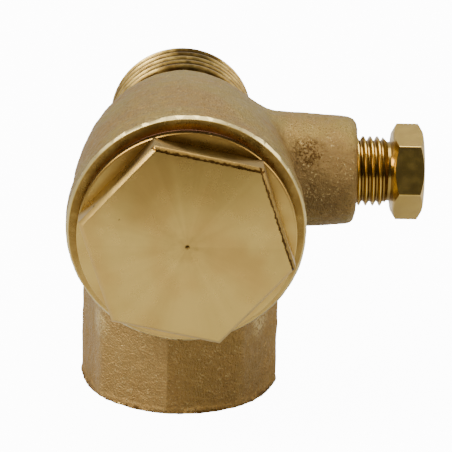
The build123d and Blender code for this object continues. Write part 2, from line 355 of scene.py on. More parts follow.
def lumps(points, size, seed):
    """Smooth random heights from -1 to 1 that vary over size millimetres."""
    lattice = np.random.default_rng(seed).uniform(-1, 1, (32, 32, 32))
    place = points / size + 100.0
    cell = np.floor(place).astype(int)
    part = place - cell
    part = part * part * (3 - 2 * part)
    total = np.zeros(len(points))
    for corner in np.ndindex(2, 2, 2):
        weight = np.ones(len(points))
        for axis in range(3):
            weight *= part[:, axis] if corner[axis] else 1 - part[:, axis]
        spot = (cell + np.array(corner)) % 32
        total += weight * lattice[spot[:, 0], spot[:, 1], spot[:, 2]]
    return total


BARREL_START = (-18.7, 15.9)
BARREL_MIDDLE = (-2.0, 14.6)
BARREL_BACK = (12.8, 10.15)
RING_BACK_Y = -19.6


def circle_through(a, b, c):
    """Centre and radius of the circle through three points."""
    (ax, ay), (bx, by), (cx, cy) = a, b, c
    d = 2 * (ax * (by - cy) + bx * (cy - ay) + cx * (ay - by))
    a2, b2, c2 = ax * ax + ay * ay, bx * bx + by * by, cx * cx + cy * cy
    ux = (a2 * (by - cy) + b2 * (cy - ay) + c2 * (ay - by)) / d
    uy = (a2 * (cx - bx) + b2 * (ax - cx) + c2 * (bx - ax)) / d
    return ux, uy, hypot(ax - ux, ay - uy)


ARC_Y, ARC_OFFSET, ARC_R = circle_through(BARREL_START, BARREL_MIDDLE, BARREL_BACK)


def casting_distance(p):
    """Rough signed distance to the raw casting, before any machining."""
    x, y, z = p[..., 0], p[..., 1], p[..., 2]
    around = np.hypot(x, z)
    arc = ARC_OFFSET + np.sqrt(np.maximum(ARC_R ** 2 - (y - ARC_Y) ** 2, 0))
    barrel = smooth_max(around - arc, y - SHOULDER_Y, 1.6)
    ring = smooth_max(around - RING_R, y - RING_BACK_Y, 1.2)
    shape = smooth_min(barrel, ring, 1.0)
    shape = np.maximum(shape, FRONT_Y - 1.5 - y)

    halves = []                # the front and back corners are sharp, and the others are rounded
    for side in (range(4), range(4, 8)):
        half = np.full(x.shape, -1e3)
        for i in side:
            angle = radians(OCTAGON_TURN + 22.5 + 45 * i)
            half = smooth_max(half, cos(angle) * x + sin(angle) * y - OCTAGON_FLATS / 2, 0.8)
        halves.append(half)
    octagon = smooth_max(*halves, 0.12)
    burr = np.maximum(np.hypot(x, y) - BURR_R, z - SOCKET_END_Z - 0.25)
    octagon = smooth_min(octagon, burr, 0.9)
    octagon = smooth_max(octagon, z + 3.0, 3.0)
    octagon = np.maximum(octagon, SOCKET_END_Z - 1.5 - z)
    shape = smooth_min(shape, octagon, 3.2)

    slope = (BOSS_ROOT_R - BOSS_TIP_R) / (BOSS_END_X - 11)
    boss = np.hypot(y, z) - (BOSS_TIP_R + slope * (BOSS_END_X - x))
    boss = smooth_max(boss, x - BOSS_END_X, 1.5)
    boss = np.maximum(boss, 4 - x)
    return smooth_min(shape, boss, 2.1)


def casting_skin(p):
    """Height of the sand-cast skin: lumps, grain and a ground-off parting line."""
    height = 0.10 * lumps(p, 7.0, 1) + 0.06 * lumps(p, 2.6, 2) + 0.045 * lumps(p, 1.1, 3)
    height += 0.04 * lumps(p, 0.55, 4)
    seam = np.exp(-(p[:, 0] / 0.35) ** 2) * np.clip(lumps(p, 5.0, 5) * 1.5, 0, 1)
    return height + 0.10 * seam * (p[:, 1] > -18)


def surface_nets(distance, low, high, step):
    """Quad mesh of the zero surface of distance inside a box."""
    axes = [np.arange(low[i], high[i] + step, step) for i in range(3)]
    grid = np.stack(np.meshgrid(*axes, indexing="ij"), axis=-1)
    value = distance(grid)
    inside = value < 0
    shape = np.array(value.shape)
    total = np.zeros((*(shape - 1), 3))
    count = np.zeros(shape - 1)
    corners = list(np.ndindex(2, 2, 2))

    def window(array, corner):
        return array[tuple(slice(c, c + n - 1) for c, n in zip(corner, shape))]

    for a in corners:
        for axis in range(3):
            if a[axis]:
                continue
            b = list(a)
            b[axis] = 1
            va, vb = window(value, a), window(value, b)
            crosses = window(inside, a) != window(inside, b)
            share = np.where(crosses, va / np.where(crosses, va - vb, 1), 0)
            spot = np.array(a, float) + np.zeros((*va.shape, 3))
            spot[..., axis] += share
            total += np.where(crosses[..., None], spot, 0)
            count += crosses
    used = count > 0
    index = np.full(used.shape, -1)
    index[used] = np.arange(used.sum())
    cell = np.argwhere(used)
    points = (cell + total[used] / count[used][:, None]) * step + np.array(low)
    quads = []
    for axis in range(3):
        u, v = (axis + 1) % 3, (axis + 2) % 3
        step_on = np.zeros(3, int)
        step_on[axis] = 1
        a = inside[tuple(slice(0, n - s) for n, s in zip(shape, step_on))]
        b = inside[tuple(slice(s, n) for n, s in zip(shape, step_on))]
        at = np.argwhere(a != b)
        at = at[(at[:, u] > 0) & (at[:, v] > 0) & (at[:, u] < shape[u] - 1) & (at[:, v] < shape[v] - 1)]
        ring = []
        for du, dv in ((-1, -1), (0, -1), (0, 0), (-1, 0)):
            near = at.copy()
            near[:, u] += du
            near[:, v] += dv
            ring.append(index[near[:, 0], near[:, 1], near[:, 2]])
        ring = np.stack(ring, axis=1)
        flip = ~inside[at[:, 0], at[:, 1], at[:, 2]]
        ring[flip] = ring[flip][:, ::-1]
        quads.append(ring)
    return points, np.concatenate(quads)


def slope_of(distance, points, eps=0.02):
    """Gradient of distance at each point."""
    result = np.zeros_like(points)
    for axis in range(3):
        shift = np.zeros(3)
        shift[axis] = eps
        result[:, axis] = (distance(points + shift) - distance(points - shift)) / (2 * eps)
    return result


def sharpen_corner(points, low, turn):
    """Move the nearest point of each layer onto one upright edge of the octagon."""
    reach = OCTAGON_FLATS / 2 / cos(pi / 8)
    corner = np.array((cos(radians(turn)), sin(radians(turn)))) * reach
    away = np.hypot(*(points[:, :2] - corner).T)
    layer = np.floor((points[:, 2] - low[2]) / CAST_STEP)
    near = (away < 0.9 * CAST_STEP) & (points[:, 2] < -16.5) & (points[:, 2] > SOCKET_END_Z + 0.6)
    for level in np.unique(layer[near]):
        rows = np.flatnonzero(near & (layer == level))
        points[rows[np.argmin(away[rows])], :2] = corner


def casting():
    low = (-RING_R - 1.5, FRONT_Y - 2.5, SOCKET_END_Z - 2.5)
    high = (BOSS_END_X + 1.5, SHOULDER_Y + 1.5, RING_R + 1.5)
    points, quads = surface_nets(casting_distance, low, high, CAST_STEP)
    for _ in range(2):
        slope = slope_of(casting_distance, points)
        steep = np.maximum((slope ** 2).sum(axis=1), 0.05)
        points = points - slope * (casting_distance(points) / steep)[:, None]
    sharpen_corner(points, low, OCTAGON_TURN)
    sharpen_corner(points, low, OCTAGON_TURN + 180)
    slope = slope_of(casting_distance, points)
    normal = slope / np.linalg.norm(slope, axis=1, keepdims=True)
    points = points + normal * casting_skin(points)[:, None]
    return new_object("valve_casting", points, quads)


CAST_STEP = 0.42


# ==== pieces ====

def nozzle_walls():
    """Nozzle, riser and unloader duct that stand inside the chamber."""
    walls = rod("nozzle", "+y", NOZZLE_R, SEAT_Y, NOZZLE_R)
    walls = join(walls, rod("riser", "+z", NOZZLE_R + 0.03, -17.2, 0.11))
    return join(walls, rod("duct", "+x", 4.2, 0.2, DUCT_END_X))


def body_cavity():
    """Everything that is cut out of the casting, as one closed shape."""
    chamber_start = PLUG_END_Y + 0.5
    outline = [
        (chamber_start - 0.5, CAP_MAJOR_R - 0.9), (chamber_start, CHAMBER_R), (3, CHAMBER_R),
        (12, PASSAGE_R), (TANK_END_Y + 1, PASSAGE_R),
    ]
    space = turned("cavity", "+y", outline)
    space = cut(space, nozzle_walls())
    space = join(space, rod("riser_bore", "+z", NOZZLE_BORE_R, -17.5, 0.13))
    space = join(space, rod("nozzle_bore", "+y", NOZZLE_BORE_R, SEAT_Y - 0.3, NOZZLE_BORE_R - 0.02))
    space = join(space, rod("unloader_duct", "+x", 2.0, 4.0, DUCT_END_X, columns=48))
    return join(space, boss_bore())


def boss_bore():
    outline = [(12.5, 3.1), (13.1, 3.1), (16.0, 4.39)]
    space = turned("boss_seat", "+x", outline, columns=64)
    thread = helicoid(
        "boss_thread", "+x", NUT_BORE_START_X, BOSS_END_X + 1, NUT_PITCH,
        NUT_MAJOR_R - METRIC_DEPTH * NUT_PITCH + THREAD_GAP, NUT_MAJOR_R + THREAD_GAP, 72,
    )
    envelope = rod("boss_envelope", "+x", 6, NUT_BORE_START_X, BOSS_END_X + 1, columns=72)
    space = join(space, keep_inside(thread, envelope))
    spot = [
        (BOSS_END_X - 0.75, NUT_MAJOR_R - 0.2), (BOSS_END_X - 0.1, NUT_MAJOR_R + 0.75),
        (BOSS_END_X + 1, NUT_MAJOR_R + 0.75),
    ]
    return join(space, turned("boss_mouth", "+x", spot, columns=72))


def socket_bore():
    end = -SOCKET_END_Z
    thread = helicoid(
        "socket_thread", "-z", end - SOCKET_DEPTH, end + 1, PIPE_PITCH,
        SOCKET_MINOR_R, SOCKET_MINOR_R + PIPE_DEPTH, 120,
    )
    envelope = rod("socket_envelope", "-z", 11, end - SOCKET_DEPTH, end + 1, columns=144)
    space = keep_inside(thread, envelope)
    mouth = [(end - 1.3, SOCKET_MINOR_R - 0.05), (end + 0.4, SOCKET_MINOR_R + 1.7)]
    return join(space, turned("socket_mouth", "-z", mouth))


def cap_bore():
    minor = CAP_MAJOR_R - METRIC_DEPTH * CAP_PITCH + THREAD_GAP
    end = -FRONT_Y
    start = -PLUG_END_Y - 0.5
    major = CAP_MAJOR_R + THREAD_GAP
    thread = helicoid("bore_thread", "-y", start, end + 1, CAP_PITCH, minor, major, 144)
    space = keep_inside(thread, rod("bore_envelope", "-y", 14, start, end + 1, columns=144))
    mouth = [(end - 0.8, minor), (end + 0.3, CAP_MAJOR_R + 0.35)]
    return join(space, turned("bore_mouth", "-y", mouth))


def front_cutter():
    """Tool path that faces the ring and turns the narrow bevel around it."""
    outline = [
        (-FRONT_Y, RING_R - LIP_WIDTH), (-FRONT_Y - 0.50, RING_R + 0.1),
        (-FRONT_Y - 0.9, RING_R + 2), (-FRONT_Y + 4, RING_R + 2),
    ]
    return turned("front_cutter", "-y", outline, columns=192)


def socket_cutter():
    """Tool path that faces the socket's end and takes its outer corners off."""
    end = -SOCKET_END_Z
    outline = [(end, 13.85), (end - 0.3, 14.25), (end - 0.5, 18), (end + 4, 18)]
    cutter = turned("socket_cutter", "-z", outline, columns=288)
    rim = [v for v in cutter.data.vertices if 13 < hypot(v.co.x, v.co.y) < 15 and v.co.z > -end - 0.5]
    places = np.array([v.co for v in rim])
    ragged = lumps(places, 0.7, 11) + lumps(places, 2.2, 12)
    for vertex, offset in zip(rim, ragged):
        vertex.co.z += 0.14 * offset * (vertex.co.z > -end + 0.1)
        vertex.co.xy *= 1 + 0.010 * offset
    return cutter


def tank_thread():
    """Male pipe thread with a turned lead-in and a runout groove at the shoulder."""
    start = SHOULDER_Y + 0.35
    minor = TANK_MAJOR_R - PIPE_DEPTH
    thread = helicoid("tank_thread", "+y", start, TANK_END_Y, PIPE_PITCH, minor, TANK_MAJOR_R, 144)
    outline = [
        (start, minor + 0.1), (start + 0.5, minor + 0.3), (start + 1.3, TANK_MAJOR_R + 0.01),
        (TANK_END_Y - 0.85, TANK_MAJOR_R + 0.01), (TANK_END_Y, minor + 0.15),
    ]
    thread = keep_inside(thread, turned("tank_envelope", "+y", outline, columns=192))
    return join(thread, rod("tank_core", "+y", minor - 0.12, 4, start + 1, columns=192))


def valve_body():
    body = casting()
    body = cut(body, front_cutter())
    body = cut(body, socket_cutter())
    body = join(body, tank_thread())
    body = cut(body, body_cavity())
    body = cut(body, cap_bore())
    body = cut(body, socket_bore())
    paint_machined(body)
    return settle(body, [], "body", ["valve_body"], 38)


CAST, FACED, THREADED = range(3)
SKIN_TOLERANCE = 0.09       # a face further than this from the casting's skin was machined


def paint_machined(body):
    """Give each face the cast or the machined finish, by where the casting's skin was left."""
    mesh = body.data
    for material in (cast_brass(), faced_brass(), threaded_brass()):
        mesh.materials.append(material)
    count = len(mesh.polygons)
    centres = np.empty(count * 3)
    mesh.polygons.foreach_get("center", centres)
    centres = centres.reshape(-1, 3)
    off = np.abs(casting_distance(centres) - casting_skin(centres))
    machined = off > SKIN_TOLERANCE
    y = centres[:, 1]
    around = np.hypot(centres[:, 0], centres[:, 2])
    kind = np.where(machined, FACED, CAST)
    kind[machined & (y > SHOULDER_Y - 0.2) & (around > PASSAGE_R + 0.5)] = THREADED
    kind[(centres[:, 0] > 12) & (np.hypot(y, centres[:, 2]) < NUT_MAJOR_R + 0.3)] = THREADED
    kind[y < FRONT_Y + 0.42] = FACED        # the ring's bevel lies close to the skin
    mesh.polygons.foreach_set("material_index", kind.astype(np.int32))


def hex_cap():
    """Cap: flange, hexagon with a bevel along each flat, and a threaded cup behind."""
    face = -CAP_FACE_Y
    hex_back = face - CAP_HEX_HEIGHT
    flange_back = -GASKET_LOW.y
    flats = prism("cap_hexagon", "-y", 6, CAP_FLATS, CAP_HEX_TURN, hex_back - 0.5, face, 0)
    bevel_edges(flats, face, CAP_BEVEL, 0.60)
    outline = [
        (flange_back, FLANGE_R - 0.2), (flange_back + 0.2, FLANGE_R),
        (hex_back - 0.12, FLANGE_R), (hex_back, FLANGE_R - 0.12),
    ]
    cap = join(flats, turned("cap_flange", "-y", outline, columns=192))
    minor = CAP_MAJOR_R - METRIC_DEPTH * CAP_PITCH
    plug_end = -PLUG_END_Y
    thread = helicoid("cap_thread", "-y", plug_end, flange_back, CAP_PITCH, minor, CAP_MAJOR_R, 144)
    envelope = [
        (plug_end, minor - 0.2), (plug_end + 1.1, CAP_MAJOR_R + 0.01),
        (flange_back - 1.6, CAP_MAJOR_R + 0.01), (flange_back - 1.0, minor - 0.05),
        (flange_back + 0.1, minor - 0.05),
    ]
    cap = join(cap, keep_inside(thread, turned("plug_envelope", "-y", envelope, columns=192)))
    head_r = PISTON_HIGH.x
    spring_r = SPRING_HIGH.x
    bore = [
        (plug_end - 1, 0), (plug_end - 1, head_r + 0.6), (plug_end + 3.1, head_r + 0.6),
        (plug_end + 3.1, spring_r + 0.6), (plug_end + 5.6, spring_r + 0.6),
        (plug_end + 5.6, STEM_R + STEM_GAP), (face - 2.3, STEM_R + STEM_GAP), (face - 2.3, 0),
    ]
    cap = cut(cap, turned("cap_bore", "-y", soften(bore, 0.3), columns=96))
    pip = [(face - 0.35, 0), (face + 0.03, 0.26), (face + 1, 0.26), (face + 1, 0)]
    cap = cut(cap, turned("cap_pip", "-y", pip, columns=24))
    return settle(cap, [cap_brass()], "cap", ["hex_cap"], 25)


def bevel_edges(obj, station, inward, depth):
    """Pull the end outline of a prism inwards over a short depth, and soften both edges."""
    work = bmesh.new()
    work.from_mesh(obj.data)
    end = [f for f in work.faces if all(abs(-v.co.y - station) < 1e-4 for v in f.verts)]
    bmesh.ops.inset_region(work, faces=end, thickness=inward, use_even_offset=True)
    for vertex in work.verts:
        on_end = abs(-vertex.co.y - station) < 1e-4
        if on_end and hypot(vertex.co.x, vertex.co.z) > CAP_FLATS / 2 / cos(pi / 6) - 0.1:
            vertex.co.y += depth
    edges = [e for e in work.edges if any(-v.co.y > station - depth - 0.1 for v in e.verts)]
    bmesh.ops.bevel(work, geom=edges, offset=0.07, segments=2, profile=0.5, affect="EDGES")
    bmesh.ops.recalc_face_normals(work, faces=work.faces)
    work.to_mesh(obj.data)
    work.free()


def cap_gasket():
    inner = CAP_MAJOR_R + 0.08
    outer = GASKET_HIGH.x
    low, high = -GASKET_HIGH.y, -GASKET_LOW.y
    outline = [
        (low, inner + 0.1), (low, outer - 0.2), (low + 0.2, outer), (high - 0.2, outer),
        (high, outer - 0.2), (high, inner + 0.1), (high - 0.1, inner), (low + 0.1, inner),
    ]
    ring = turned("gasket_ring", "-y", outline, columns=192, closed=True)
    return settle(ring, [fibre()], "cap_carrier", ["cap_gasket"])


def unloader_nut():
    """Compression nut with its cone, thread, neck and double-chamfered hexagon."""
    hex_start = NUT_HIGH.x - NUT_HEX_LENGTH
    neck_start = hex_start - NUT_NECK_LENGTH
    hexagon = prism("nut_hexagon", "+x", 6, NUT_FLATS, NUT_FLAT_TURN + 30, hex_start, NUT_HIGH.x, 0.12)
    slope = tan(radians(60))
    flat_r = NUT_FLATS / 2
    turned_outline = [
        (hex_start, flat_r - 0.3), (hex_start + 0.75, flat_r - 0.3 + 0.75 * slope),
        (NUT_HIGH.x - 0.75, flat_r - 0.25 + 0.75 * slope),
        (NUT_HIGH.x - 0.04, flat_r - 0.25 + 0.04 * slope), (NUT_HIGH.x, flat_r - 0.35),
    ]
    nut = keep_inside(hexagon, turned("nut_turned", "+x", turned_outline, columns=144))
    neck = [
        (neck_start - 0.6, NUT_NECK_R), (hex_start - 0.3, NUT_NECK_R), (hex_start + 0.1, flat_r - 0.45),
    ]
    nut = join(nut, turned("nut_neck", "+x", neck, columns=96))
    minor = NUT_MAJOR_R - METRIC_DEPTH * NUT_PITCH
    tip = NUT_LOW.x
    thread = helicoid("nut_thread", "+x", tip, neck_start, NUT_PITCH, minor, NUT_MAJOR_R, 96)
    envelope = [
        (tip, minor - 0.1), (tip + 0.6, NUT_MAJOR_R + 0.01),
        (neck_start - 0.5, NUT_MAJOR_R + 0.01), (neck_start + 0.2, minor - 0.1),
    ]
    nut = join(nut, keep_inside(thread, turned("nut_envelope", "+x", envelope, columns=96)))
    cone_r = OLIVE_HIGH.y + 0.15
    bore = [
        (tip - 1, cone_r), (tip, cone_r), (tip + cone_r - TUBE_BORE_R, TUBE_BORE_R),
        (NUT_HIGH.x - 0.4, TUBE_BORE_R), (NUT_HIGH.x + 0.2, TUBE_BORE_R + 0.6),
    ]
    nut = cut(nut, turned("nut_bore", "+x", bore, columns=96))
    return settle(nut, [nut_brass()], "nut", ["unloader_nut"], 28)


def compression_olive():
    radius = OLIVE_HIGH.y
    outline = [
        (OLIVE_LOW.x, TUBE_BORE_R + 0.02), (OLIVE_LOW.x, OLIVE_TIP_R), (OLIVE_LOW.x + 1.68, radius),
        (OLIVE_HIGH.x - 0.75, radius), (OLIVE_HIGH.x, OLIVE_TIP_R), (OLIVE_HIGH.x, TUBE_BORE_R + 0.02),
    ]
    ring = turned("olive_ring", "+x", soften(outline, 0.25), columns=96, closed=True)
    return settle(ring, [nut_brass()], "nut_carrier", ["compression_olive"])


def check_piston():
    head_r = PISTON_HIGH.x
    rim = PISTON_HIGH.y
    recess = SEAL_LOW.y
    back = recess - 3.0
    outline = [
        (PISTON_LOW.y, 0), (PISTON_LOW.y, STEM_R - 0.3), (PISTON_LOW.y + 0.3, STEM_R), (back, STEM_R),
        (back, head_r - 0.3), (back + 0.3, head_r), (rim - 0.2, head_r), (rim, head_r - 0.2),
        (rim, SEAL_HIGH.x + 0.1), (recess, SEAL_HIGH.x + 0.1), (recess, SCREW_HOLE_R),
        (SCREW_LOW.y - 0.6, SCREW_HOLE_R), (SCREW_LOW.y - 0.6, 0),
    ]
    piston = turned("piston", "+y", soften(outline, 0.12), columns=128)
    return settle(piston, [cap_brass()], "piston", ["check_piston"])


def seal_disc():
    radius = SEAL_HIGH.x
    low, high = SEAL_LOW.y, SEAL_HIGH.y
    outline = [(low, SCREW_HOLE_R), (low, radius), (high, radius), (high, SCREW_HOLE_R)]
    disc = turned("rubber_disc", "+y", outline, columns=128, closed=True)
    return settle(disc, [rubber()], "piston", ["seal_disc"])


def seal_fixings():
    outline = [
        (WASHER_LOW.y, SCREW_HOLE_R), (WASHER_LOW.y, WASHER_HIGH.x),
        (WASHER_HIGH.y - 0.15, WASHER_HIGH.x), (WASHER_HIGH.y, WASHER_HIGH.x - 0.15),
        (WASHER_HIGH.y, SCREW_HOLE_R),
    ]
    washer = turned("washer", "+y", outline, columns=96, closed=True)
    settle(washer, [cap_brass()], "piston", ["seal_retaining_washer"])
    head_r = SCREW_HIGH.x
    outline = [
        (SCREW_LOW.y, 0), (SCREW_LOW.y, 1.2), (SCREW_LOW.y + 0.3, 1.5), (WASHER_HIGH.y, 1.5),
        (WASHER_HIGH.y, head_r), (SCREW_HIGH.y - 0.7, head_r), (SCREW_HIGH.y - 0.15, 0.7 * head_r),
        (SCREW_HIGH.y, 0),
    ]
    screw = turned("pan_screw", "+y", soften(outline, 0.3), columns=72)
    slot = prism("screw_slot", "+y", 4, 0.7, 45, SCREW_HIGH.y - 0.8, SCREW_HIGH.y + 1, 0)
    slot.data.transform(Matrix.Scale(12, 4, Vector((1, 0, 0))))
    screw = cut(screw, slot)
    settle(screw, [steel()], "piston", ["seal_screw"])


def closing_spring():
    """Coil with 0.9 of a dead turn at each end, between the cap's pocket and the piston."""
    wire = 0.35
    dead_pitch = 2.05 * wire
    radius = SPRING_HIGH.x - wire
    low, high = SPRING_LOW.y + wire, SPRING_HIGH.y - wire
    turns, dead, around, per_turn = 6.2, 0.9, 14, 56
    steps = int(turns * per_turn)
    stations = []
    for i in range(steps + 1):
        turn = turns * i / steps
        closed_rise = dead_pitch * (min(turn, dead) + max(turn - (turns - dead), 0))
        open_turns = min(max(turn - dead, 0), turns - 2 * dead)
        open_rise = (high - low) - 2 * dead * dead_pitch
        stations.append((turn, low + closed_rise + open_rise * open_turns / (turns - 2 * dead)))
    points = []
    for turn, y in stations:
        angle = tau * turn
        out = np.array((cos(angle), 0, sin(angle)))
        for k in range(around):
            side = tau * k / around
            points.append(out * (radius + wire * cos(side)) + np.array((0, y + wire * sin(side), 0)))
    faces = []
    for i in range(steps):
        for k in range(around):
            n = (k + 1) % around
            faces.append((i * around + k, i * around + n, (i + 1) * around + n, (i + 1) * around + k))
    faces.append(tuple(range(around)))
    faces.append(tuple(range(steps * around, (steps + 1) * around)))
    coil = new_object("spring_coil", points, faces)
    settle(coil, [steel()], "cap_carrier", ["closing_spring"], 60)
    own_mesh(coil)


# ==== materials ====

RAMP_SOCKETS = ("From Min", "From Max", "To Min", "To Max")


class Shader:
    """A small helper around one material's node tree."""

    def __init__(self, name, metallic=0.0):
        self.material = bpy.data.materials.new(name)
        self.material.use_nodes = True
        self.tree = self.material.node_tree
        self.tree.nodes.clear()
        self.output = self.node("ShaderNodeOutputMaterial")
        self.surface = self.node("ShaderNodeBsdfPrincipled")
        self.link(self.surface.outputs[0], self.output.inputs["Surface"])
        self.set("Metallic", metallic)
        self.place = self.millimetres()

    def node(self, kind, **settings):
        node = self.tree.nodes.new(kind)
        for key, value in settings.items():
            setattr(node, key, value)
        return node

    def link(self, source, target):
        self.tree.links.new(source, target)

    def set(self, name, value):
        self.surface.inputs[name].default_value = value

    def millimetres(self):
        """Object coordinates in millimetres."""
        coords = self.node("ShaderNodeTexCoord")
        scale = self.node("ShaderNodeVectorMath", operation="SCALE")
        scale.inputs["Scale"].default_value = 1000
        self.link(coords.outputs["Object"], scale.inputs[0])
        return scale.outputs[0]

    def noise(self, size, detail=3.0, rough=0.5):
        """Noise from 0 to 1 whose features are about size millimetres."""
        node = self.node("ShaderNodeTexNoise")
        node.inputs["Scale"].default_value = 1 / size
        node.inputs["Detail"].default_value = detail
        node.inputs["Roughness"].default_value = rough
        self.link(self.place, node.inputs["Vector"])
        return node.outputs["Fac"]

    def math(self, operation, a, b=None, clamp=False):
        node = self.node("ShaderNodeMath", operation=operation, use_clamp=clamp)
        for value, socket in zip((a, b), node.inputs):
            if value is None:
                continue
            if isinstance(value, (int, float)):
                socket.default_value = value
            else:
                self.link(value, socket)
        return node.outputs[0]

    def times(self, a, b):
        return self.math("MULTIPLY", a, b)

    def tint(self, colour, target, share, strength):
        """Colour moved towards the target by a share from 0 to 1."""
        return self.mix(self.times(share, strength), colour, target)

    def remap(self, value, low, high, new_low=0.0, new_high=1.0):
        node = self.node("ShaderNodeMapRange", interpolation_type="SMOOTHSTEP")
        self.link(value, node.inputs["Value"])
        for name, number in zip(RAMP_SOCKETS, (low, high, new_low, new_high)):
            node.inputs[name].default_value = number
        return node.outputs["Result"]

    def mix(self, factor, first, second):
        node = self.node("ShaderNodeMix", data_type="RGBA")
        self.link(factor, node.inputs[0])
        for value, socket in ((first, node.inputs[6]), (second, node.inputs[7])):
            if isinstance(value, tuple):
                socket.default_value = (*value, 1)
            else:
                self.link(value, socket)
        return node.outputs[2]

    def axis_radius(self, axis):
        """Distance from the x, y or z axis in millimetres."""
        split = self.node("ShaderNodeSeparateXYZ")
        self.link(self.place, split.inputs[0])
        kept = [split.outputs[i] for i in range(3) if "xyz"[i] != axis]
        squares = [self.times(value, value) for value in kept]
        return self.math("SQRT", self.math("ADD", *squares))

    def distance(self, x, y, z):
        """Distance in millimetres from one point."""
        node = self.node("ShaderNodeVectorMath", operation="DISTANCE")
        node.inputs[1].default_value = (x, y, z)
        self.link(self.place, node.inputs[0])
        return node.outputs["Value"]

    def coordinate(self, axis):
        split = self.node("ShaderNodeSeparateXYZ")
        self.link(self.place, split.inputs[0])
        return split.outputs["xyz".index(axis)]

    def step_along(self, axis, *limits):
        """Smooth step between two stations on an axis."""
        return self.remap(self.coordinate(axis), *limits)

    def ring_noise(self, axis, size):
        """Fine lines around an axis, as a turning tool leaves them."""
        node = self.node("ShaderNodeTexNoise", noise_dimensions="1D")
        node.inputs["Scale"].default_value = 1 / size
        node.inputs["Detail"].default_value = 2
        self.link(self.axis_radius(axis), node.inputs["W"])
        return node.outputs["Fac"]

    def bump(self, height, depth_mm, strength=1.0, before=None):
        node = self.node("ShaderNodeBump")
        node.inputs["Distance"].default_value = depth_mm * MM
        node.inputs["Strength"].default_value = strength
        self.link(height, node.inputs["Height"])
        if before is not None:
            self.link(before, node.inputs["Normal"])
        return node.outputs["Normal"]

    def finish(self, colour=None, roughness=None, normal=None):
        for value, name in ((colour, "Base Color"), (roughness, "Roughness"), (normal, "Normal")):
            if value is not None:
                self.link(value, self.surface.inputs[name])
        return self.material


CAST_LIGHT = (0.275, 0.195, 0.058)
CAST_PINK = (0.265, 0.165, 0.052)
CAST_WARM = (0.33, 0.195, 0.058)
# painted highlight colour for the socket's lit front facet
FACET_PAINTED_HIGHLIGHT = (0.40, 0.26, 0.10)
CAST_DARK = (0.045, 0.020, 0.004)
# painted highlight colour for grain glints and the socket's fillets
CAST_PAINTED_HIGHLIGHT = (0.62, 0.47, 0.20)
TURNED_LIGHT = (0.58, 0.405, 0.115)
TURNED_WARM = (0.52, 0.335, 0.092)
# painted shade colour for the socket's right front facet and the boss's front
CAST_PAINTED_SHADE = (0.155, 0.095, 0.034)
# brown for random tone on the threads and for painted shade elsewhere
BROWN_TONE_AND_PAINTED_SHADE = (0.17, 0.095, 0.022)
# painted highlight colour for the ring's bevelled lip
LIP_PAINTED_HIGHLIGHT = (0.62, 0.49, 0.21)
NUT_GOLD = (0.62, 0.425, 0.105)
NUT_WARM = (0.58, 0.39, 0.10)


def cast_brass():
    s = Shader("cast_brass", metallic=1.0)
    patches = s.remap(s.noise(9.0, 3, 0.6), 0.38, 0.62)
    grain = s.noise(0.33, 3, 0.7)
    coarse = s.noise(1.3, 3, 0.6)
    colour = s.mix(patches, CAST_LIGHT, CAST_PINK)
    stain = s.remap(s.noise(3.4, 5, 0.7), 0.58, 0.74)
    colour = s.tint(colour, CAST_DARK, stain, 0.3)
    hollows = s.remap(grain, 0.47, 0.32)
    colour = s.tint(colour, CAST_DARK, hollows, 0.5)
    low = s.step_along("z", -11.0, -17.0)
    colour = s.tint(colour, CAST_WARM, low, 0.75)
    # painted light and shade on the socket's two front facets: the left one lighter and the right one
    # darker, as the light falls on them
    lean = s.times(s.coordinate("y"), 1 / tan(radians(OCTAGON_TURN)))
    edge = s.math("SUBTRACT", s.coordinate("x"), lean)
    painted_facet_zone = s.times(low, s.step_along("y", -4.0, -7.0))
    right = s.times(painted_facet_zone, s.remap(edge, -0.12, 0.12))
    left_facet_highlight = s.times(painted_facet_zone, s.remap(edge, 0.12, -0.12))
    colour = s.tint(colour, CAST_PAINTED_SHADE, right, 0.26)
    colour = s.tint(colour, FACET_PAINTED_HIGHLIGHT, left_facet_highlight, 0.45)
    # painted shadow across the middle of the boss's front
    shadow = s.math("ADD", s.distance(19.5, -7.2, 1.6), s.times(s.noise(1.6, 4, 0.6), 3.0))
    colour = s.tint(colour, CAST_PAINTED_SHADE, s.remap(shadow, 9.0, 4.8), 0.85)
    reach = s.math("ADD", s.distance(17.2, -6.0, 4.6), s.times(s.noise(0.8, 4, 0.7), 5.0))
    pocket = s.times(s.remap(reach, 5.6, 3.6), s.remap(s.noise(0.38, 2, 0.6), 0.60, 0.46))
    colour = s.tint(colour, CAST_DARK, pocket, 0.9)
    # painted glints on the raised tips of the grain
    grain_glints = s.times(s.remap(grain, 0.56, 0.68), s.remap(s.noise(2.2, 2, 0.5), 0.42, 0.62))
    colour = s.tint(colour, CAST_PAINTED_HIGHLIGHT, grain_glints, 0.6)
    # painted highlights on the fillets where the barrel meets the socket's sides
    for side in (-1, 1):
        fillet_highlight = s.remap(s.distance(side * 12.1, -7.5, -20.8), 3.2, 0.8)
        fillet_highlight = s.times(fillet_highlight, s.remap(s.noise(0.5, 3, 0.7), 0.40, 0.58))
        colour = s.tint(colour, CAST_PAINTED_HIGHLIGHT, fillet_highlight, 0.8)
    burr = s.step_along("z", SOCKET_END_Z + 0.9, SOCKET_END_Z + 0.1)
    burr = s.times(burr, s.remap(s.noise(0.9, 3, 0.6), 0.32, 0.55))
    colour = s.tint(colour, CAST_DARK, burr, 0.9)
    # painted shade in the crease in front of the shoulder; it has no limit in z, so it covers the
    # socket's rear facet too
    rim = s.step_along("y", SHOULDER_Y - 1.9, SHOULDER_Y - 0.9)
    rim = s.times(rim, s.remap(s.noise(0.9, 4, 0.7), 0.38, 0.54))
    colour = s.tint(colour, CAST_DARK, rim, 0.85)
    roughness = s.remap(coarse, 0.3, 0.7, 0.42, 0.56)
    height = s.math("ADD", grain, s.times(coarse, 0.8))
    return s.finish(colour, roughness, s.bump(height, 0.30, 1.0))


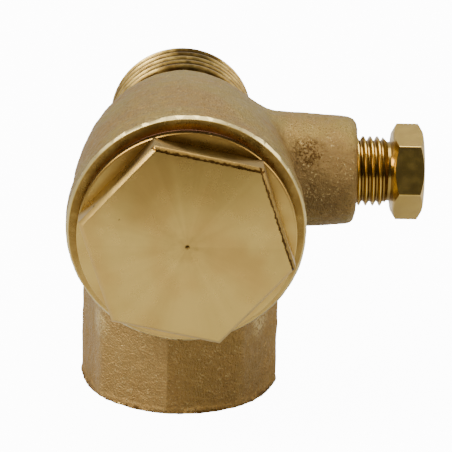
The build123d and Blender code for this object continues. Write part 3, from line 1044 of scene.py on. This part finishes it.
def faced_brass():
    """Turned faces. The ring's front face inside the lip has a painted shadow of the cap's flange,
    darker towards the top.
    """
    s = Shader("faced_brass", metallic=1.0)
    rings = s.ring_noise("y", 0.12)
    blotch = s.remap(s.noise(2.5, 3, 0.6), 0.4, 0.65)
    colour = s.mix(blotch, TURNED_LIGHT, TURNED_WARM)
    # painted shadow of the cap's flange on the ring's face inside the lip, darker towards the top
    face = s.step_along("y", FRONT_Y + 0.12, FRONT_Y + 0.02)
    flange_shadow = s.times(face, s.remap(s.axis_radius("y"), RING_R - LIP_WIDTH, RING_R - 0.48))
    flange_shadow = s.times(flange_shadow, s.remap(s.noise(1.5, 3, 0.6), 0.2, 0.6, 0.6, 0.9))
    flange_shadow = s.times(flange_shadow, s.step_along("z", -12.0, 2.0, 0.3, 1.0))
    colour = s.mix(flange_shadow, colour, BROWN_TONE_AND_PAINTED_SHADE)
    # painted highlight along the ring's bevelled lip
    lip_highlight = s.remap(s.axis_radius("y"), RING_R - 0.34, RING_R - 0.26)
    lip_highlight = s.times(lip_highlight, s.step_along("y", FRONT_Y + 0.7, FRONT_Y + 0.5))
    colour = s.mix(lip_highlight, colour, LIP_PAINTED_HIGHLIGHT)
    roughness = s.remap(s.noise(1.2, 2, 0.5), 0.3, 0.7, 0.26, 0.38)
    return s.finish(colour, roughness, s.bump(rings, 0.012, 0.5))


def threaded_brass():
    s = Shader("threaded_brass", metallic=1.0)
    blotch = s.remap(s.noise(2.0, 3, 0.6), 0.4, 0.65)
    colour = s.mix(blotch, TURNED_LIGHT, TURNED_WARM)
    colour = s.mix(s.remap(s.noise(3.5, 3, 0.6), 0.3, 0.7, 0.25, 0.55), colour, BROWN_TONE_AND_PAINTED_SHADE)
    # painted shade in the valleys of the tank thread
    groove = s.remap(s.axis_radius("y"), TANK_MAJOR_R - 0.12, TANK_MAJOR_R - 0.50)
    behind = s.step_along("y", SHOULDER_Y - 0.5, SHOULDER_Y)
    core_r = TANK_MAJOR_R - PIPE_DEPTH
    behind = s.times(behind, s.remap(s.axis_radius("y"), core_r - 0.3, core_r))
    groove = s.times(groove, behind)
    valley_shade = s.remap(s.noise(1.6, 3, 0.6), 0.25, 0.6, 0.65, 1.0)
    colour = s.mix(s.times(groove, valley_shade), colour, CAST_DARK)
    patch = s.times(s.remap(s.noise(5.0, 2, 0.5), 0.48, 0.6), behind)
    colour = s.tint(colour, CAST_DARK, patch, 0.6)
    roughness = s.remap(s.noise(0.8, 2, 0.5), 0.3, 0.7, 0.28, 0.40)
    return s.finish(colour, roughness, s.bump(s.noise(0.15, 2, 0.5), 0.01, 0.5))


def cap_edge_shadow(s, width):
    """Share of a ragged painted shadow line along the cap's two upper right edges, beside the chamfer.
    """
    apothem = CAP_FLATS / 2 - CAP_BEVEL
    total = None
    for k in (0, 1):
        angle = radians(CAP_HEX_TURN - 30 - 60 * k)
        across = s.node("ShaderNodeVectorMath", operation="DOT_PRODUCT")
        across.inputs[1].default_value = (cos(angle), 0, sin(angle))
        s.link(s.place, across.inputs[0])
        ragged = s.times(s.math("SUBTRACT", s.noise(0.7, 4, 0.7), 0.5), 0.7)
        reach = s.math("ADD", across.outputs["Value"], ragged)
        line = s.remap(reach, apothem - 0.08, apothem + 0.04)
        line = s.times(line, s.remap(reach, apothem + width + 0.04, apothem + width - 0.08))
        total = line if total is None else s.math("MAXIMUM", total, line)
    front = s.step_along("y", CAP_FACE_Y + 0.75, CAP_FACE_Y + 0.55)
    return s.times(total, front)


def cap_brass():
    """Brass turned across the face, with faint painted fans of reflected light, painted shade on the
    upper half of the face and flange, a few pits and a painted shadow line along two edges.
    """
    s = Shader("cap_brass", metallic=1.0)
    s.set("Anisotropic", 0.55)
    tangent = s.node("ShaderNodeTangent", direction_type="RADIAL", axis="Y")
    s.link(tangent.outputs[0], s.surface.inputs["Tangent"])
    cloud = s.remap(s.noise(7.0, 2, 0.5), 0.35, 0.65)
    colour = s.mix(cloud, TURNED_LIGHT, TURNED_WARM)
    # painted fans of reflected light across the face, and painted shade over its upper half
    spoke = s.math("ARCTAN2", s.coordinate("z"), s.coordinate("x"))
    fan = s.node("ShaderNodeTexNoise", noise_dimensions="1D")
    fan.inputs["Scale"].default_value = 2.2
    fan.inputs["Detail"].default_value = 4
    s.link(spoke, fan.inputs["W"])
    front = s.step_along("y", CAP_FACE_Y + 0.3, CAP_FACE_Y + 0.1)
    fan_and_top_shade = s.times(s.remap(fan.outputs["Fac"], 0.62, 0.38), front)
    around = s.axis_radius("y")
    upper_shade = s.times(s.remap(s.math("SINE", spoke), 0.2, 1.0), s.remap(around, 1.0, 10.0))
    fan_and_top_shade = s.math("ADD", s.times(fan_and_top_shade, 0.10), s.times(upper_shade, 0.55), clamp=True)
    colour = s.mix(fan_and_top_shade, colour, BROWN_TONE_AND_PAINTED_SHADE)
    middle = s.times(s.remap(around, 5.0, 0.4), s.remap(s.noise(2.0, 3, 0.6), 0.3, 0.7))
    colour = s.tint(colour, BROWN_TONE_AND_PAINTED_SHADE, middle, 0.3)
    colour = s.tint(colour, CAST_DARK, s.remap(around, 0.45, 0.15), 0.9)
    pits = s.remap(s.noise(1.7, 1, 0.4), 0.775, 0.80)
    colour = s.tint(colour, CAST_DARK, pits, 0.8)
    scuffs = s.remap(s.noise(0.5, 4, 0.7), 0.62, 0.72)
    colour = s.tint(colour, CAST_DARK, scuffs, 0.16)
    # painted dark reflection in a crescent at the top of the flange's front face
    rear = s.step_along("y", CAP_FACE_Y + CAP_HEX_HEIGHT - 0.3, CAP_FACE_Y + CAP_HEX_HEIGHT - 0.1)
    crescent_reflection = s.times(rear, s.remap(around, FLANGE_R - 2.4, FLANGE_R - 0.9))
    crescent_reflection = s.times(crescent_reflection, s.step_along("z", 8.5, 12.5))
    colour = s.tint(colour, BROWN_TONE_AND_PAINTED_SHADE, crescent_reflection, 0.7)
    # painted shade over the flange's upper half, darkest at its outer edge
    upper_flange_shade = s.times(rear, s.step_along("z", 0.0, 9.0))
    colour = s.tint(colour, BROWN_TONE_AND_PAINTED_SHADE, upper_flange_shade, 0.30)
    rim = s.times(upper_flange_shade, s.remap(around, FLANGE_R - 0.40, FLANGE_R - 0.15))
    colour = s.tint(colour, BROWN_TONE_AND_PAINTED_SHADE, rim, 0.85)
    # painted shadow line beside the chamfer on the two upper right edges
    colour = s.tint(colour, BROWN_TONE_AND_PAINTED_SHADE, cap_edge_shadow(s, 0.6), 0.75)
    colour = s.mix(cap_edge_shadow(s, 0.25), colour, CAST_DARK)
    roughness = s.remap(s.noise(3.0, 3, 0.6), 0.3, 0.7, 0.26, 0.36)
    normal = s.bump(s.ring_noise("y", 0.10), 0.010, 0.45)
    return s.finish(colour, roughness, s.bump(pits, -0.05, 0.8, normal))


def nut_brass():
    s = Shader("nut_brass", metallic=1.0)
    cloud = s.remap(s.noise(3.0, 2, 0.5), 0.35, 0.65)
    colour = s.mix(cloud, NUT_GOLD, NUT_WARM)
    # painted shade in the nut's thread valleys, standing in for a dark reflection
    around = s.axis_radius("x")
    valley_shade = s.times(s.remap(around, 4.95, 4.6), s.remap(around, 4.0, 4.2))
    hex_start = NUT_HIGH.x - NUT_HEX_LENGTH
    valley_shade = s.times(valley_shade, s.step_along("x", hex_start, hex_start - 0.4))
    colour = s.tint(colour, BROWN_TONE_AND_PAINTED_SHADE, valley_shade, 0.65)
    roughness = s.remap(s.noise(1.6, 3, 0.6), 0.3, 0.7, 0.17, 0.26)
    return s.finish(colour, roughness, s.bump(s.noise(0.5, 3, 0.6), 0.008, 0.35))


def fibre():
    s = Shader("fibre")
    s.set("Specular IOR Level", 0.3)
    colour = s.mix(s.noise(0.3, 4, 0.7), (0.11, 0.045, 0.025), (0.20, 0.085, 0.045))
    roughness = s.remap(s.noise(0.5), 0.3, 0.7, 0.65, 0.85)
    return s.finish(colour, roughness, s.bump(s.noise(0.2, 3), 0.03, 0.6))


def rubber():
    s = Shader("rubber")
    s.set("Specular IOR Level", 0.4)
    colour = s.mix(s.noise(0.6, 3), (0.012, 0.012, 0.013), (0.030, 0.029, 0.028))
    roughness = s.remap(s.noise(0.5), 0.3, 0.7, 0.5, 0.7)
    return s.finish(colour, roughness, s.bump(s.noise(0.25, 3), 0.02, 0.5))


def steel():
    s = Shader("steel", metallic=1.0)
    colour = s.mix(s.noise(1.0, 3), (0.52, 0.52, 0.53), (0.66, 0.65, 0.64))
    roughness = s.remap(s.noise(0.8), 0.3, 0.7, 0.22, 0.34)
    return s.finish(colour, roughness, s.bump(s.noise(0.2, 2), 0.008, 0.4))


# ==== studio ====

CAMERA_AZIMUTH = -2.25
CAMERA_ELEVATION = 21.48
CAMERA_ROLL = 1.68
CAMERA_DISTANCE = 497.9
CAMERA_TARGET = Vector((6.33, 0.0, -8.84))
CAMERA_LENS = 274.8


def camera():
    azimuth, elevation, roll = (radians(v) for v in (CAMERA_AZIMUTH, CAMERA_ELEVATION, CAMERA_ROLL))
    back = Vector((sin(azimuth) * cos(elevation), -cos(azimuth) * cos(elevation), sin(elevation)))
    right = Vector((cos(azimuth), sin(azimuth), 0))
    up = back.cross(right)
    side = right * cos(roll) + up * sin(roll)
    over = up * cos(roll) - right * sin(roll)
    data = bpy.data.cameras.new("camera")
    data.lens = CAMERA_LENS
    data.sensor_width = 36
    data.clip_start = 0.01
    eye = bpy.data.objects.new("camera", data)
    place = CENTRE + (CAMERA_TARGET + back * CAMERA_DISTANCE) * MM
    eye.matrix_world = Matrix.Translation(place) @ Matrix((side, over, back)).transposed().to_4x4()
    bpy.context.scene.collection.objects.link(eye)
    bpy.context.scene.camera = eye


def softbox(name, place, size, power, colour=(1, 1, 1)):
    """Area light at a place in metres, aimed at the valve."""
    data = bpy.data.lights.new(name, "AREA")
    data.shape = "RECTANGLE"
    data.size, data.size_y = size
    data.energy = power
    data.color = colour
    lamp = bpy.data.objects.new(name, data)
    lamp.location = place
    lamp.rotation_euler = (Vector(place) - CENTRE).to_track_quat("Z", "Y").to_euler()
    bpy.context.scene.collection.objects.link(lamp)


FLOOR_GLOW = 12.0           # extra brightness that only the camera sees
FLOOR_HALF = 3.0            # metres


def floor():
    mesh = bpy.data.meshes.new("floor")
    signs = ((-1, -1), (1, -1), (1, 1), (-1, 1))
    corners = [(x * FLOOR_HALF, y * FLOOR_HALF, 0) for x, y in signs]
    mesh.from_pydata(corners, [], [(0, 1, 2, 3)])
    obj = bpy.data.objects.new("floor", mesh)
    obj.location = (0, 0, SOCKET_END_Z * MM + CENTRE.z - 0.00002)
    bpy.context.scene.collection.objects.link(obj)
    s = Shader("floor")
    s.set("Base Color", (0.42, 0.42, 0.42, 1))
    s.set("Roughness", 0.9)
    s.set("Specular IOR Level", 0.1)
    s.set("Emission Color", (1, 1, 1, 1))
    seen = s.node("ShaderNodeLightPath").outputs["Is Camera Ray"]
    s.link(s.times(seen, FLOOR_GLOW), s.surface.inputs["Emission Strength"])
    mesh.materials.append(s.material)


def world():
    """Pale surround, dimmer on the camera's side."""
    surround = bpy.data.worlds.new("surround")
    bpy.context.scene.world = surround
    surround.use_nodes = True
    tree = surround.node_tree
    tree.nodes.clear()
    output = tree.nodes.new("ShaderNodeOutputWorld")
    shade = tree.nodes.new("ShaderNodeBackground")
    coords = tree.nodes.new("ShaderNodeTexCoord")
    facing = tree.nodes.new("ShaderNodeVectorMath")
    facing.operation = "DOT_PRODUCT"
    elevation = radians(CAMERA_ELEVATION)
    facing.inputs[1].default_value = (0, -cos(elevation), sin(elevation))
    ramp = tree.nodes.new("ShaderNodeMapRange")
    ramp.interpolation_type = "SMOOTHSTEP"
    for name, number in zip(RAMP_SOCKETS, (0.50, 0.95, 0.85, 0.09)):
        ramp.inputs[name].default_value = number
    shade.inputs["Color"].default_value = (1.0, 0.99, 0.97, 1)
    tree.links.new(coords.outputs["Generated"], facing.inputs[0])
    tree.links.new(facing.outputs["Value"], ramp.inputs["Value"])
    tree.links.new(ramp.outputs["Result"], shade.inputs["Strength"])
    tree.links.new(shade.outputs[0], output.inputs["Surface"])


def studio():
    floor()
    world()
    softbox("key", (-0.45, -0.35, 0.65), (0.35, 0.35), 12.0, (1.0, 0.98, 0.93))
    softbox("top", (0.05, 0.15, 0.75), (0.5, 0.5), 5.0)
    softbox("fill", (0.6, -0.2, 0.35), (0.4, 0.4), 3.0, (1.0, 0.99, 0.98))
    camera()


valve_body()
hex_cap()
cap_gasket()
unloader_nut()
compression_olive()
check_piston()
seal_disc()
seal_fixings()
closing_spring()
studio()
